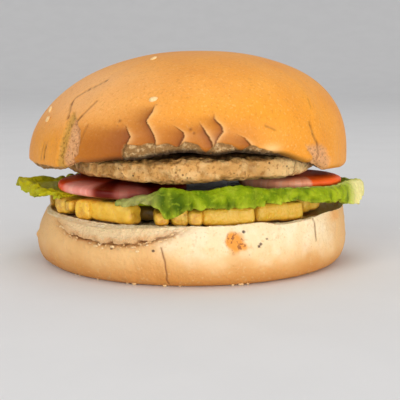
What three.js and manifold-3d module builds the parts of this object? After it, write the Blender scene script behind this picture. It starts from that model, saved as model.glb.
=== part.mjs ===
// Chicken burger in a round bun, with chips, lettuce and tomato, stacked as it is eaten.
// Millimetres, +Z up, +X to the right, the front towards -Y, origin on the ground under the middle.

import * as THREE from 'three';
import { mergeVertices } from 'three/addons/utils/BufferGeometryUtils.js';
import Module from 'manifold-3d';

const wasm = await Module();
wasm.setup();

// Driving dimensions. Azimuths and turns are in degrees, all other sizes in millimetres.
const TOTAL_HEIGHT = 77.6;
const HEEL = { radius: 58.6, shiftX: 1.4, floor: 18.9, widestAt: 8.0, footRadius: 52.6 };
const FLAP = { azimuth: -28, width: 27, proud: 1.3, crease: 0.7, lowest: 13.8, riseLeft: 4, riseRight: 7 };
const FLAP_HALF_SPAN = 30;
const CHIP = { side: 7.0, level: 22.7, coreRadius: 45, coreHalf: 3.2 };
const LEAF = { level: 27.1, thickness: 0.9, flap: 4.4, bendLimit: 58 };
const TOMATO = { bottom: 28.0, thickness: 5.1 };
const PATTY = { radius: 45.8, frontShift: 4, frontBulge: 1.4, level: 38.1, thickness: 9.1, fall: 1.8 };
const CROWN = { radius: 59.8, rimRadius: 57.2, curl: 2.8, ceiling: 43.2, lean: 4.7, leanFrom: 38 };
const TORN_STRIP = { azimuth: -43, width: 4, depth: 1.1, top: 58 };
const SIDE_CRACK = { azimuth: 45, width: 4, depth: 1.0, top: 50 };
const SEED = { length: 3.2, width: 2.0, thickness: 1.35 };

const DEGREE = Math.PI / 180;
const QUARTER = Math.PI / 2;
const { clamp, lerp, smoothstep } = THREE.MathUtils;

// Azimuths run from the front (-Y) towards +X.
function polar(azimuth, radius, z) {
  return new THREE.Vector3(radius * Math.sin(azimuth), -radius * Math.cos(azimuth), z);
}

// The signed angle to one azimuth from another, between half a turn either way.
function turnBetween(azimuth, centre) {
  return Math.atan2(Math.sin(azimuth - centre), Math.cos(azimuth - centre));
}

// 1 at the centre, falling away over the width, both in degrees. A higher power has a flatter top.
function bell(azimuth, centre, width, power = 2) {
  const turn = Math.abs(turnBetween(azimuth, centre * DEGREE));
  return Math.exp(-Math.pow(turn / (width * DEGREE), power));
}

// Evenly spaced numbers from 0 to 1.
function fractions(count) {
  return Array.from({ length: count + 1 }, (_, k) => k / count);
}

// A sine or cosine pushed towards its limits, which turns a round section into a squarer one.
function squared(value, power) {
  return Math.sign(value) * Math.pow(Math.abs(value), power);
}

// A value that changes smoothly through [azimuth in degrees, value] pairs.
function valueAlong(pairs, azimuth) {
  const angle = azimuth / DEGREE;
  const next = pairs.findIndex(([end]) => angle <= end);
  if (next === 0) return pairs[0][1];
  if (next < 0) return pairs[pairs.length - 1][1];
  const [[from, low], [to, high]] = [pairs[next - 1], pairs[next]];
  return lerp(low, high, smoothstep(angle, from, to));
}

function signedVolume(geometry) {
  const { index } = geometry;
  const { position } = geometry.attributes;
  const corner = [new THREE.Vector3(), new THREE.Vector3(), new THREE.Vector3()];
  let volume = 0;
  for (let i = 0; i < index.count; i += 3) {
    corner.forEach((point, k) => point.fromBufferAttribute(position, index.getX(i + k)));
    volume += corner[0].dot(corner[1].clone().cross(corner[2])) / 6;
  }
  return volume;
}

// Position-only geometry with shared vertices merged and its faces pointing outwards.
function closed(geometry) {
  geometry.deleteAttribute('normal');
  geometry.deleteAttribute('uv');
  const merged = mergeVertices(geometry, 1e-5);
  if (signedVolume(merged) < 0) {
    const index = merged.index.array;
    for (let i = 0; i < index.length; i += 3) {
      [index[i], index[i + 1]] = [index[i + 1], index[i]];
    }
  }
  return merged;
}

// A sphere's grid moved onto a round solid. The section gives, for an azimuth, the points down the
// outside from the top of the axis to the bottom of the axis.
function roundSolid(segments, section) {
  const sections = fractions(segments).slice(0, segments).map((part) => section(part * 2 * Math.PI));
  const geometry = new THREE.SphereGeometry(1, segments, sections[0].length - 1);
  const { position } = geometry.attributes;
  for (let k = 0; k < position.count; k += 1) {
    const column = k % (segments + 1);
    const point = sections[column % segments][Math.floor(k / (segments + 1))];
    position.setXYZ(k, point.x, point.y, point.z);
  }
  return closed(geometry);
}

function toManifold(geometry) {
  const merged = closed(geometry.clone());
  return new wasm.Manifold(new wasm.Mesh({
    numProp: 3,
    vertProperties: new Float32Array(merged.attributes.position.array),
    triVerts: new Uint32Array(merged.index.array),
  }));
}

// Joins overlapping pieces into one solid.
function fuse(geometries) {
  const mesh = geometries.map(toManifold).reduce((solid, piece) => solid.add(piece)).getMesh();
  const geometry = new THREE.BufferGeometry();
  geometry.setAttribute('position', new THREE.Float32BufferAttribute(mesh.vertProperties, 3));
  geometry.setIndex([...mesh.triVerts]);
  return geometry;
}

// Heel: a low round loaf with a flat foot, hollowed slightly inside its rim, with a rolled flap of
// crust along the front left of the rim.
const HEEL_RIM_INSET = 2.3;
const HEEL_RIM_SKEW = 1.2;
const HEEL_RIM = [
  [-180, 20.4], [-75, 19.3], [-50, 20.0], [-31, 19.3], [-18, 20.2], [-4, 21.2],
  [14, 21.2], [24, 21.8], [32, 20.4], [42, 20.7], [55, 22.0], [75, 21.4], [180, 20.4],
];

function heelRim(azimuth) {
  return valueAlong(HEEL_RIM, turnBetween(azimuth, 0));
}

// The crease under the flap is lowest at its middle and rises to the rim at both ends.
function creaseHeight(azimuth) {
  const turn = turnBetween(azimuth, FLAP.azimuth * DEGREE) / DEGREE / FLAP_HALF_SPAN;
  return FLAP.lowest + (turn < 0 ? FLAP.riseLeft : FLAP.riseRight) * turn ** 2;
}

// How far the rolled flap stands out of the wall, with the crease under it.
function flapRelief(azimuth, z) {
  const creaseAt = creaseHeight(azimuth);
  const above = smoothstep(z, creaseAt + 0.5, creaseAt + 2);
  const below = 1 - smoothstep(z, heelRim(azimuth) - 0.8, heelRim(azimuth) + 0.7);
  const crease = 1 - Math.min(1, Math.abs(z - creaseAt) / 1.8);
  return bell(azimuth, FLAP.azimuth, FLAP.width, 4) * (FLAP.proud * above * below - FLAP.crease * crease);
}

// The wall of the heel, from 0 at its rim to 1 where it is widest.
function heelWall(azimuth, rimRadius, part) {
  const z = lerp(heelRim(azimuth) - 0.6, HEEL.widestAt, part);
  const even = lerp(rimRadius, HEEL.radius, Math.sin(part * QUARTER));
  return polar(azimuth, even + flapRelief(azimuth, z), z);
}

// The rounded corner under the wall, from 0 where the heel is widest to 1 at the edge of its foot.
function heelCorner(azimuth, part) {
  const angle = part * QUARTER;
  const radius = lerp(HEEL.footRadius, HEEL.radius, Math.cos(angle));
  return polar(azimuth, radius, HEEL.widestAt * (1 - Math.sin(angle)));
}

function heelSection(azimuth) {
  const rim = heelRim(azimuth);
  const rimRadius = HEEL.radius - HEEL_RIM_INSET + HEEL_RIM_SKEW * Math.sin(azimuth);
  const section = [
    new THREE.Vector3(0, 0, HEEL.floor),
    polar(azimuth, rimRadius - 2.6, HEEL.floor),
    polar(azimuth, rimRadius - 1.7, rim - 0.4),
    polar(azimuth, rimRadius - 0.9, rim),
    ...fractions(6).map((part) => heelWall(azimuth, rimRadius, part)),
    ...fractions(4).slice(1).map((part) => heelCorner(azimuth, part)),
    new THREE.Vector3(0, 0, 0),
  ];
  section.forEach((point) => {
    point.x += HEEL.shiftX;
  });
  return section;
}

function heelSolid() {
  return roundSolid(60, heelSection);
}

// Chips: one layer, its showing pieces fused round a hidden core. Each chip is
// [azimuth of its middle, distance of its middle, turn from pointing outwards, length, size, rise].
const FRONT_CHIPS = [
  [-72, 41.6, 20, 20, 0.9, 0.2],
  [-62, 42.4, 8, 20, 0.94, 0.3],
  [-53, 42, -4, 20, 0.62, 0.6],
  [-45, 42.4, 4, 20, 1.05, 0.5],
  [-31, 47.4, 84, 19, 1.05, 0.2],
  [-12, 43.2, 18, 20, 0.72, -0.3],
  [-4, 43.3, 12, 20, 0.86, -0.1],
  [3, 43.8, 3, 20, 0.76, 0],
  [16, 49.2, 84, 18, 0.92, 0],
  [39.5, 48.4, 82, 20, 0.96, 0],
  [59, 45, 66, 18, 0.86, 0.3],
];
const BACK_CHIPS = { count: 16, from: 70, to: 277, shareLying: 0.38 };
const CHIP_NARROWING = 0.1;
// How much of the turn between two long edges is left flat: smaller makes a squarer bar.
const CHIP_FLATNESS = 0.42;

// A number between 0 and 1 that depends only on the whole number given.
function draw(number) {
  const value = Math.sin(number * 12.9898 + 4.1414) * 43758.5453;
  return value - Math.floor(value);
}

// Round the back the chips either point outwards or lie along the rim.
function backChips() {
  return fractions(BACK_CHIPS.count - 1).map((part, k) => {
    const azimuth = lerp(BACK_CHIPS.from, BACK_CHIPS.to, part);
    const lying = draw(k + 5) > 1 - BACK_CHIPS.shareLying;
    const distance = lying ? 46.6 : 41.2 + 1.2 * draw(k + 60);
    const turn = lying ? 80 + 14 * draw(k + 40) : -22 + 44 * draw(k + 80);
    return [azimuth, distance, turn, lying ? 22 : 20, 0.86 + 0.12 * draw(k + 20), 0.15 * draw(k)];
  });
}

// One chip: a square bar with its four long edges cut off, a little narrower at its ends.
function chip([azimuthDegrees, distance, turnDegrees, length, size, rise]) {
  const geometry = new THREE.CylinderGeometry(1, 1, length, 8, 2);
  const { position } = geometry.attributes;
  const half = CHIP.side * size / 2;
  for (let k = 0; k < position.count; k += 1) {
    const [x, y, z] = [position.getX(k), position.getY(k), position.getZ(k)];
    const turned = Math.atan2(z, x) + QUARTER / 4;
    const corner = (Math.floor(turned / QUARTER) + 0.5) * QUARTER;
    const angle = corner + (turned - corner) * CHIP_FLATNESS;
    const reach = 1 / Math.max(Math.abs(Math.cos(angle)), Math.abs(Math.sin(angle)));
    const narrow = 1 - CHIP_NARROWING * Math.pow(2 * Math.abs(y) / length, 4);
    const out = Math.hypot(x, z) < 1e-6 ? 0 : half * reach * narrow;
    position.setXYZ(k, Math.cos(angle) * out, y, Math.sin(angle) * out);
  }
  const azimuth = azimuthDegrees * DEGREE;
  const centre = polar(azimuth, distance, CHIP.level + rise);
  geometry.rotateZ(azimuth + turnDegrees * DEGREE);
  geometry.translate(centre.x, centre.y, centre.z);
  return geometry;
}

function chipCorePoint(azimuth, part) {
  const angle = part * Math.PI;
  const radius = part < 1 ? CHIP.coreRadius * squared(Math.sin(angle), 0.3) : 0;
  return polar(azimuth, radius, CHIP.level - 0.3 + CHIP.coreHalf * squared(Math.cos(angle), 0.5));
}

function chipsSolid() {
  const core = roundSolid(32, (azimuth) => fractions(6).map((part) => chipCorePoint(azimuth, part)));
  return fuse([core, ...FRONT_CHIPS.map(chip), ...backChips().map(chip)]);
}

// Lettuce: a thin leaf that comes out over the chips, folds up and over and hangs down in ruffles.
// Inner and edge are the radii of its two long sides, crest and hem the heights of the fold and of
// the lower edge, all as [azimuth, value] pairs.
const FRONT_LEAF = {
  from: -23,
  to: 142,
  inner: [[-23, 50], [-12, 44], [6, 26], [142, 26]],
  edge: [[-23, 57.6], [40, 57.8], [61, 62], [84, 66.2], [112, 54], [142, 51]],
  crest: [
    [-23, 28.9], [-13, 30.8], [-7, 33.2], [5, 32.2], [18, 33.6], [30, 32.0],
    [45, 31.4], [60, 30.8], [72, 31.4], [92, 29.2], [142, 28.2],
  ],
  hem: [
    [-23, 27.7], [-11, 27.8], [-6, 23.6], [1, 26.2], [12, 26.9], [22, 26.1], [28, 27.8],
    [40, 27.2], [57, 25.2], [74, 22.2], [88, 25.2], [110, 26.2], [142, 26.8],
  ],
};
const SIDE_LEAF = {
  from: -168,
  to: -54,
  inner: [[-168, 28], [-54, 28]],
  edge: [[-168, 51], [-106, 53], [-89, 65.2], [-74, 59], [-54, 53]],
  crest: [[-168, 28.0], [-106, 28.2], [-92, 29.4], [-80, 29.2], [-66, 28.2], [-54, 27.6]],
  hem: [
    [-168, 26.8], [-108, 26.8], [-90, 28.2], [-82, 25.6], [-72, 25.6], [-62, 26.6], [-54, 26.6],
  ],
};
const RUFFLE = { outward: 0.5, upward: 0.25, outwardWaves: 34, upwardWaves: 21 };

// The leaf's cut along an azimuth, as distance and height from its inner to its outer edge.
function leafSection(leaf, azimuth) {
  const inner = valueAlong(leaf.inner, azimuth);
  const edge = valueAlong(leaf.edge, azimuth);
  const bend = Math.min(edge - LEAF.flap, LEAF.bendLimit);
  const crest = valueAlong(leaf.crest, azimuth);
  const hem = valueAlong(leaf.hem, azimuth);
  return new THREE.SplineCurve([
    new THREE.Vector2(inner, LEAF.level),
    new THREE.Vector2(lerp(inner, bend, 0.7), LEAF.level),
    new THREE.Vector2(bend, LEAF.level + 0.1),
    new THREE.Vector2(Math.max(bend + 2.3, edge - 2.2), crest - LEAF.thickness / 2),
    new THREE.Vector2(edge, lerp(crest, hem, 0.38)),
    new THREE.Vector2(edge + 0.2, hem),
  ]);
}

function leafPoint(leaf, along, across) {
  const azimuth = lerp(leaf.from, leaf.to, along) * DEGREE;
  const flat = leafSection(leaf, azimuth).getPoint(across);
  const loose = smoothstep(across, 0.62, 1);
  const outward = RUFFLE.outward * loose * Math.sin(azimuth * RUFFLE.outwardWaves + 3 * across);
  const upward = RUFFLE.upward * loose * Math.sin(azimuth * RUFFLE.upwardWaves);
  return polar(azimuth, flat.x + outward, flat.y + upward);
}

// The unit normal of a leaf's middle surface.
function leafNormal(leaf, along, across) {
  const small = 1e-3;
  const near = (a, b) => leafPoint(leaf, clamp(a, 0, 1), clamp(b, 0, 1));
  const alongLeaf = near(along + small, across).sub(near(along - small, across));
  const acrossLeaf = near(along, across + small).sub(near(along, across - small));
  return alongLeaf.cross(acrossLeaf).normalize();
}

// The grid points round the edge of a leaf, in order.
function leafBorder(columns, rows, at) {
  const border = [];
  for (let i = 0; i < columns; i += 1) border.push(at(i, 0));
  for (let j = 0; j < rows; j += 1) border.push(at(columns, j));
  for (let i = columns; i > 0; i -= 1) border.push(at(i, rows));
  for (let j = rows; j > 0; j -= 1) border.push(at(0, j));
  return border;
}

// Both faces of a leaf have the same triangles, and a strip closes them all round.
function leafSolid(leaf, columns, rows) {
  const positions = [];
  [-0.5, 0.5].forEach((side) => fractions(rows).forEach((across) => fractions(columns).forEach((along) => {
    const point = leafPoint(leaf, along, across);
    point.addScaledVector(leafNormal(leaf, along, across), side * LEAF.thickness);
    positions.push(point.x, point.y, point.z);
  })));
  const face = (columns + 1) * (rows + 1);
  const at = (i, j) => j * (columns + 1) + i;
  const index = [];
  for (let j = 0; j < rows; j += 1) {
    for (let i = 0; i < columns; i += 1) {
      const [a, b, c, d] = [at(i, j), at(i + 1, j), at(i + 1, j + 1), at(i, j + 1)];
      index.push(a, b, c, a, c, d);
      index.push(face + a, face + c, face + b, face + a, face + d, face + c);
    }
  }
  const border = leafBorder(columns, rows, at);
  border.forEach((a, k) => {
    const b = border[(k + 1) % border.length];
    index.push(b, a, face + a, b, face + a, face + b);
  });
  const geometry = new THREE.BufferGeometry();
  geometry.setAttribute('position', new THREE.Float32BufferAttribute(positions, 3));
  geometry.setIndex(index);
  return closed(geometry);
}

// Tomato: thick slices lying in one layer, each with one side cut flatter than the rest.
const TOMATO_LEFT = {
  x: -23, y: -23.4, radius: 22.8, cutAzimuth: -34, cutDepth: 1.2, rise: -0.35, tiltX: -0.02, tiltY: 0.04,
};
const TOMATO_RIGHT = {
  x: 37.4, y: -13.8, radius: 18.6, cutAzimuth: 14, cutDepth: 1.4, rise: 0.25, tiltX: 0.012, tiltY: 0,
};
const TOMATO_BACK = {
  x: 5, y: 16.4, radius: 22.4, cutAzimuth: 180, cutDepth: 1.5, rise: 0.1, tiltX: 0, tiltY: 0,
};

function tomatoPoint(slice, azimuth, part) {
  const angle = part * Math.PI;
  const outward = part < 1 ? squared(Math.sin(angle), 0.34) : 0;
  const cut = slice.cutDepth * bell(azimuth, slice.cutAzimuth, 34, 4);
  const point = polar(azimuth, (slice.radius - cut + 0.35 * Math.cos(5 * azimuth)) * outward, 0);
  const half = TOMATO.thickness / 2;
  const uneven = 0.94 - 0.04 * Math.cos(3 * azimuth) * outward;
  point.z = TOMATO.bottom + half + slice.rise + slice.tiltX * point.x + slice.tiltY * point.y;
  point.z += half * uneven * squared(Math.cos(angle), 0.68);
  point.x += slice.x;
  point.y += slice.y;
  return point;
}

function tomatoSolid(slice) {
  return roundSolid(36, (azimuth) => fractions(7).map((part) => tomatoPoint(slice, azimuth, part)));
}

// Patty: it reaches furthest to the front, and has a blunt corner at its front right. Its top falls
// towards the left, and its underside sags a little at the front.
const PATTY_CORNER = { azimuth: 50, width: 18, proud: 3 };
const PATTY_SAG = { x: -14, y: -51, width: 18, depth: 8, drop: 2.2 };
const PATTY_FALL_SPAN = 34;

function pattyRadius(azimuth) {
  const towardsFront = PATTY.frontShift * Math.cos(azimuth) + PATTY.frontBulge * bell(azimuth, 0, 30);
  const corner = PATTY_CORNER.proud * bell(azimuth, PATTY_CORNER.azimuth, PATTY_CORNER.width);
  const lumps = 0.6 * Math.cos(9 * azimuth) + 0.4 * Math.cos(17 * azimuth + 1);
  return PATTY.radius + towardsFront + corner + lumps;
}

function pattyPoint(azimuth, part) {
  const angle = part * Math.PI;
  const outward = part < 1 ? squared(Math.sin(angle), 0.24) : 0;
  const point = polar(azimuth, pattyRadius(azimuth) * outward, 0);
  const side = squared(Math.cos(angle), 0.42);
  const sagX = (point.x - PATTY_SAG.x) / PATTY_SAG.width;
  const sagY = (point.y - PATTY_SAG.y) / PATTY_SAG.depth;
  const sag = side < 0 ? PATTY_SAG.drop * Math.exp(-(sagX ** 2) - (sagY ** 2)) : 0;
  const lumps = 0.22 * Math.cos(point.x / 4.1) * Math.cos(point.y / 3.7 + 0.6);
  const fall = side > 0 ? PATTY.fall * smoothstep(-point.x, 0, PATTY_FALL_SPAN) : 0;
  point.z = PATTY.level + PATTY.thickness / 2 * side + (lumps - sag - fall) * Math.abs(side);
  return point;
}

function pattySolid() {
  return roundSolid(52, (azimuth) => fractions(10).map((part) => pattyPoint(azimuth, part)));
}

// Crown: a dome leaning slightly to the right, with a rim that is lifted at the front.
const CROWN_RIM = [
  [-180, 35.8], [-64, 36.3], [-50, 37.1], [-37, 40.4], [-20, 42.1], [0, 44.9], [9, 43.9],
  [17, 44.7], [30, 43.4], [46, 39.8], [57, 36.4], [80, 35.4], [180, 35.8],
];
// At the front its crust peels in flakes that meet at these azimuths.
const FLAKE_EDGES = [-19, -9.5, -1.5, 8.5, 19.8, 31];
const FLAKE_LIFT = 0.9;
const PEELING = { azimuth: 5, width: 26, depth: 0.5, low: 44, high: 56 };
const CROWN_SQUARENESS = 2.2;
const CROWN_CEILING_RADIUS = { low: 47, lifted: 38 };
const CROWN_LIP_PARTS = [0.72, 0.35, 0];

function crownRim(azimuth) {
  return valueAlong(CROWN_RIM, turnBetween(azimuth, 0));
}

function crownLean(z) {
  return CROWN.lean * smoothstep(z, CROWN.leanFrom, TOTAL_HEIGHT);
}

// Distance and height of the even crust, with the angle running from 0 at the top of the dome through
// a quarter turn where it is widest to half a turn at the rim.
function crownOutside(azimuth, angle) {
  const widestAt = crownRim(azimuth) + CROWN.curl;
  if (angle <= QUARTER) {
    const power = 2 / CROWN_SQUARENESS;
    const rise = (TOTAL_HEIGHT - widestAt) * Math.pow(Math.max(Math.cos(angle), 0), power);
    return [CROWN.radius * Math.pow(Math.sin(angle), power), widestAt + rise];
  }
  const curl = angle - QUARTER;
  return [lerp(CROWN.rimRadius, CROWN.radius, Math.cos(curl)), widestAt - CROWN.curl * Math.sin(curl)];
}

// The underside, from 0 at the edge of its flat ceiling to 1 at the rim. Where the rim is lifted above
// the ceiling, the slope between them is longer.
function crownUnderside(azimuth, part) {
  const rim = crownRim(azimuth);
  const lifted = smoothstep(rim, CROWN.ceiling, CROWN.ceiling + 1);
  const inner = lerp(CROWN_CEILING_RADIUS.low, CROWN_CEILING_RADIUS.lifted, lifted);
  const z = lerp(CROWN.ceiling, rim, smoothstep(part, 0, 1));
  return polar(azimuth, lerp(inner, CROWN.rimRadius, part), z);
}

// How far the crust is torn away at a place on the side of the crown.
function tornDepth(azimuth, z, tear) {
  const below = 1 - smoothstep(z, tear.top - 16, tear.top);
  return tear.depth * bell(azimuth, tear.azimuth, tear.width, 4) * below;
}

// Each flake curls out at its left-hand edge and sinks towards the next one.
function flakeLift(azimuth) {
  const angle = turnBetween(azimuth, 0) / DEGREE;
  const next = FLAKE_EDGES.findIndex((edge) => angle < edge);
  if (next < 1) return 0;
  return FLAKE_LIFT * (FLAKE_EDGES[next] - angle) / (FLAKE_EDGES[next] - FLAKE_EDGES[next - 1]);
}

function crustPoint(azimuth, angle) {
  const [even, z] = crownOutside(azimuth, angle);
  const low = 1 - smoothstep(z, PEELING.low, PEELING.high);
  const peeled = PEELING.depth * bell(azimuth, PEELING.azimuth, PEELING.width, 4);
  const torn = tornDepth(azimuth, z, TORN_STRIP) + tornDepth(azimuth, z, SIDE_CRACK);
  return polar(azimuth, Math.max(even - torn + (flakeLift(azimuth) - peeled) * low, 0), z);
}

function crownSection(azimuth) {
  const section = [
    ...fractions(11).map((part) => crustPoint(azimuth, part * QUARTER)),
    ...fractions(3).slice(1).map((part) => crustPoint(azimuth, (1 + part) * QUARTER)),
    ...CROWN_LIP_PARTS.map((part) => crownUnderside(azimuth, part)),
    new THREE.Vector3(0, 0, CROWN.ceiling),
  ];
  section.forEach((point) => {
    point.x += crownLean(point.z);
  });
  return section;
}

// Stray sesame seeds on the crust: [azimuth, angle down from the top, turn of the seed].
const SEED_PLACES = [
  [-14.6, 62, 20], [-36.6, 25, 75], [-68.9, 65, 130], [-63.5, 70, 40],
  [150, 44, 60], [118, 66, 10], [-150, 58, 100],
];

// A seed is a flattened egg, half sunk in the crust.
function seed([azimuthDegrees, downDegrees, turnDegrees]) {
  const azimuth = azimuthDegrees * DEGREE;
  const down = downDegrees * DEGREE;
  const centre = polar(azimuth, ...crownOutside(azimuth, down));
  centre.x += crownLean(centre.z);
  const normal = polar(azimuth, Math.sin(down), Math.cos(down));
  const along = new THREE.Vector3(Math.cos(azimuth), Math.sin(azimuth), 0);
  along.applyAxisAngle(normal, turnDegrees * DEGREE);
  const across = normal.clone().cross(along);
  const geometry = new THREE.SphereGeometry(0.5, 6, 4);
  geometry.scale(SEED.length, SEED.width, SEED.thickness);
  geometry.applyMatrix4(new THREE.Matrix4().makeBasis(along, across, normal).setPosition(centre));
  return geometry;
}

function crownSolid() {
  return fuse([roundSolid(66, crownSection), ...SEED_PLACES.map(seed)]);
}

function finish(colour, roughness) {
  return new THREE.MeshStandardMaterial({ color: colour, roughness, metalness: 0 });
}

const goldenCrust = finish(0xe8a24a, 0.42);
const paleCrust = finish(0xf0d09a, 0.6);
const friedPotato = finish(0xe9bd49, 0.5);
const leafGreen = finish(0x84a02a, 0.45);
const tomatoRed = finish(0xcc4a30, 0.3);
const grilledChicken = finish(0xc89c60, 0.6);

const burger = new THREE.Group();

function place(name, geometry, material) {
  const mesh = new THREE.Mesh(geometry, material);
  mesh.name = name;
  burger.add(mesh);
}

place('bun_bottom', heelSolid(), paleCrust);
place('chips', chipsSolid(), friedPotato);
place('lettuce_front', leafSolid(FRONT_LEAF, 46, 6), leafGreen);
place('lettuce_side', leafSolid(SIDE_LEAF, 32, 6), leafGreen);
place('tomato_left', tomatoSolid(TOMATO_LEFT), tomatoRed);
place('tomato_right', tomatoSolid(TOMATO_RIGHT), tomatoRed);
place('tomato_back', tomatoSolid(TOMATO_BACK), tomatoRed);
place('patty', pattySolid(), grilledChicken);
place('bun_top', crownSolid(), goldenCrust);

export default burger;
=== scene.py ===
# Looks of the chicken burger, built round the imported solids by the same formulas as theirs.
# Sizes are in millimetres and become metres when a mesh is made. Azimuths are in degrees, from the
# front (-Y) towards +X. Each shape carries masks between 0 and 1 that its material reads.

import itertools

import bpy
import numpy as np
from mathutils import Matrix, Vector


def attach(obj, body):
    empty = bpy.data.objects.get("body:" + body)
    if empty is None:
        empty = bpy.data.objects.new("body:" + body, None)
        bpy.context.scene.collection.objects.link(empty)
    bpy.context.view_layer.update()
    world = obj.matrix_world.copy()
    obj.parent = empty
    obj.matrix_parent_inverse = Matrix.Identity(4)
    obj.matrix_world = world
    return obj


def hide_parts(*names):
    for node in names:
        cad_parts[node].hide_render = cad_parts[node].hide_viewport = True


MM = 0.001

# Driving dimensions, as in the source of the solids.
TOTAL_HEIGHT = 77.6
HEEL_RADIUS, HEEL_SHIFT, HEEL_FLOOR, HEEL_WIDEST_AT, HEEL_FOOT_RADIUS = 58.6, 1.4, 18.9, 8.0, 52.6
FLAP_AZIMUTH, FLAP_WIDTH, FLAP_PROUD, FLAP_CREASE = -28, 27, 1.3, 0.7
CREASE_LOWEST, CREASE_RISE_LEFT, CREASE_RISE_RIGHT, CREASE_HALF_SPAN = 13.8, 4, 7, 30
CHIP_SIDE, CHIP_LEVEL, CHIP_CORE_RADIUS, CHIP_CORE_HALF = 7.0, 22.7, 45, 3.2
LEAF_LEVEL, LEAF_THICKNESS, LEAF_FLAP, LEAF_BEND_LIMIT = 27.1, 0.9, 4.4, 58
TOMATO_BOTTOM, TOMATO_THICKNESS = 28.0, 5.1
PATTY_RADIUS, PATTY_LEVEL, PATTY_THICKNESS, PATTY_FALL, PATTY_FALL_SPAN = 45.8, 38.1, 9.1, 1.8, 34
CROWN_RADIUS, CROWN_RIM_RADIUS, CROWN_CURL, CROWN_CEILING = 59.8, 57.2, 2.8, 43.2
CROWN_LEAN, CROWN_LEAN_FROM, CROWN_SQUARENESS = 4.7, 38, 2.2
CROWN_CEILING_LOW, CROWN_CEILING_LIFTED = 47, 38
SEED_LENGTH, SEED_WIDTH, SEED_THICKNESS = 3.2, 2.0, 1.35

# Columns of the meshes round a bun half, the patty and a slice.
WALL_COLUMNS, PATTY_COLUMNS, TOMATO_COLUMNS = 520, 430, 180


def lerp(low, high, part):
    return low + (high - low) * part


def ramp(value, low, high):
    """0 below the low value and 1 above the high one, changing smoothly between them."""
    part = np.clip((value - low) / (high - low), 0, 1)
    return part * part * (3 - 2 * part)


def turned(azimuth):
    """The same azimuth between half a turn either way."""
    return (azimuth + 180) % 360 - 180


def bell(azimuth, centre, width, power=2):
    """1 at the centre, falling away over the width. A higher power has a flatter top."""
    return np.exp(-((np.abs(turned(azimuth - centre)) / width) ** power))


def hump(value, centre, width):
    """1 at the centre, falling away over the width."""
    return np.exp(-(((value - centre) / width) ** 2))


def squared(value, power):
    return np.sign(value) * np.abs(value) ** power


def smooth_through(pairs, azimuth):
    """A value that changes smoothly through (azimuth, value) pairs."""
    ends = np.array(pairs, float)
    after = np.clip(np.searchsorted(ends[:, 0], azimuth), 1, len(ends) - 1)
    low, high = ends[after - 1], ends[after]
    return lerp(low[..., 1], high[..., 1], ramp(azimuth, low[..., 0], high[..., 0]))


def line_azimuth(line, z):
    """The azimuth at a height of a line of (height, azimuth) points."""
    return np.interp(z, *zip(*line))


def polar(azimuth, radius, z):
    angle = np.radians(azimuth)
    parts = np.broadcast_arrays(radius * np.sin(angle), -radius * np.cos(angle), z)
    return np.stack(parts, axis=-1).astype(float)


def noise(points, size, seed=0):
    """Smooth noise between -1 and 1 that changes over about the given size."""
    places = points / size
    cell = np.floor(places)
    within = places - cell
    within = within * within * (3 - 2 * within)
    total = np.zeros(points.shape[:-1])
    for corner in itertools.product((0, 1), repeat=3):
        mixed = np.sin((cell + corner) @ (12.9898, 78.233, 37.719) + seed) * 43758.5453
        weight = np.prod(np.where(corner, within, 1 - within), axis=-1)
        total += weight * (2 * (mixed - np.floor(mixed)) - 1)
    return total


def draw(number):
    """A number between 0 and 1 that depends only on the whole number given."""
    value = np.sin(number * 12.9898 + 4.1414) * 43758.5453
    return value - np.floor(value)


def azimuths(count):
    """Azimuths all the way round, closer together at the front than at the back."""
    turn = np.arange(count) / count * 2 * np.pi
    return np.degrees(turn - 0.55 * np.sin(turn))[None, :]


def joined_rows(*spans):
    """Evenly spaced numbers through several (start, end, count) spans, as a column."""
    rows = [np.linspace(*spans[0])] + [np.linspace(*span)[1:] for span in spans[1:]]
    return np.concatenate(rows)[:, None]


def grid_normals(points, wraps=True):
    down = np.gradient(points, axis=0)
    if wraps:
        around = np.roll(points, -1, axis=1) - np.roll(points, 1, axis=1)
    else:
        around = np.gradient(points, axis=1)
    normal = np.cross(down, around)
    length = np.linalg.norm(normal, axis=-1, keepdims=True)
    return normal / np.maximum(length, 1e-9)


def moved(local, azimuth, centre):
    """Points turned about the vertical axis and moved to a centre."""
    angle = np.radians(azimuth)
    x = local[..., 0] * np.cos(angle) - local[..., 1] * np.sin(angle)
    y = local[..., 0] * np.sin(angle) + local[..., 1] * np.cos(angle)
    return np.stack([x, y, local[..., 2]], axis=-1) + centre


def line_closeness(azimuth, z, radius, line, width):
    """1 on a line of (azimuth, height) points drawn on a round wall, falling to 0 over the width."""
    nearest = np.full(np.broadcast(azimuth, z).shape, 1e9)
    for (from_azimuth, from_z), (to_azimuth, to_z) in zip(line, line[1:]):
        along = np.radians(azimuth - from_azimuth) * radius
        up = z - from_z
        step = np.array([np.radians(to_azimuth - from_azimuth) * radius, to_z - from_z])
        share = np.clip((along * step[0] + up * step[1]) / (step @ step), 0, 1)
        nearest = np.minimum(nearest, np.hypot(along - share * step[0], up - share * step[1]))
    return hump(nearest, 0, width)


def closeness(azimuth, z, radius, lines, width):
    """The same for several lines, added up."""
    return sum(line_closeness(azimuth, z, radius, line, width) for line in lines)


def wall_distance(azimuth, z, radius, spot_azimuth, spot_z):
    """How far each place of a round wall is from one spot on it."""
    return np.hypot(np.radians(azimuth - spot_azimuth) * radius, z - spot_z)


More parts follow.
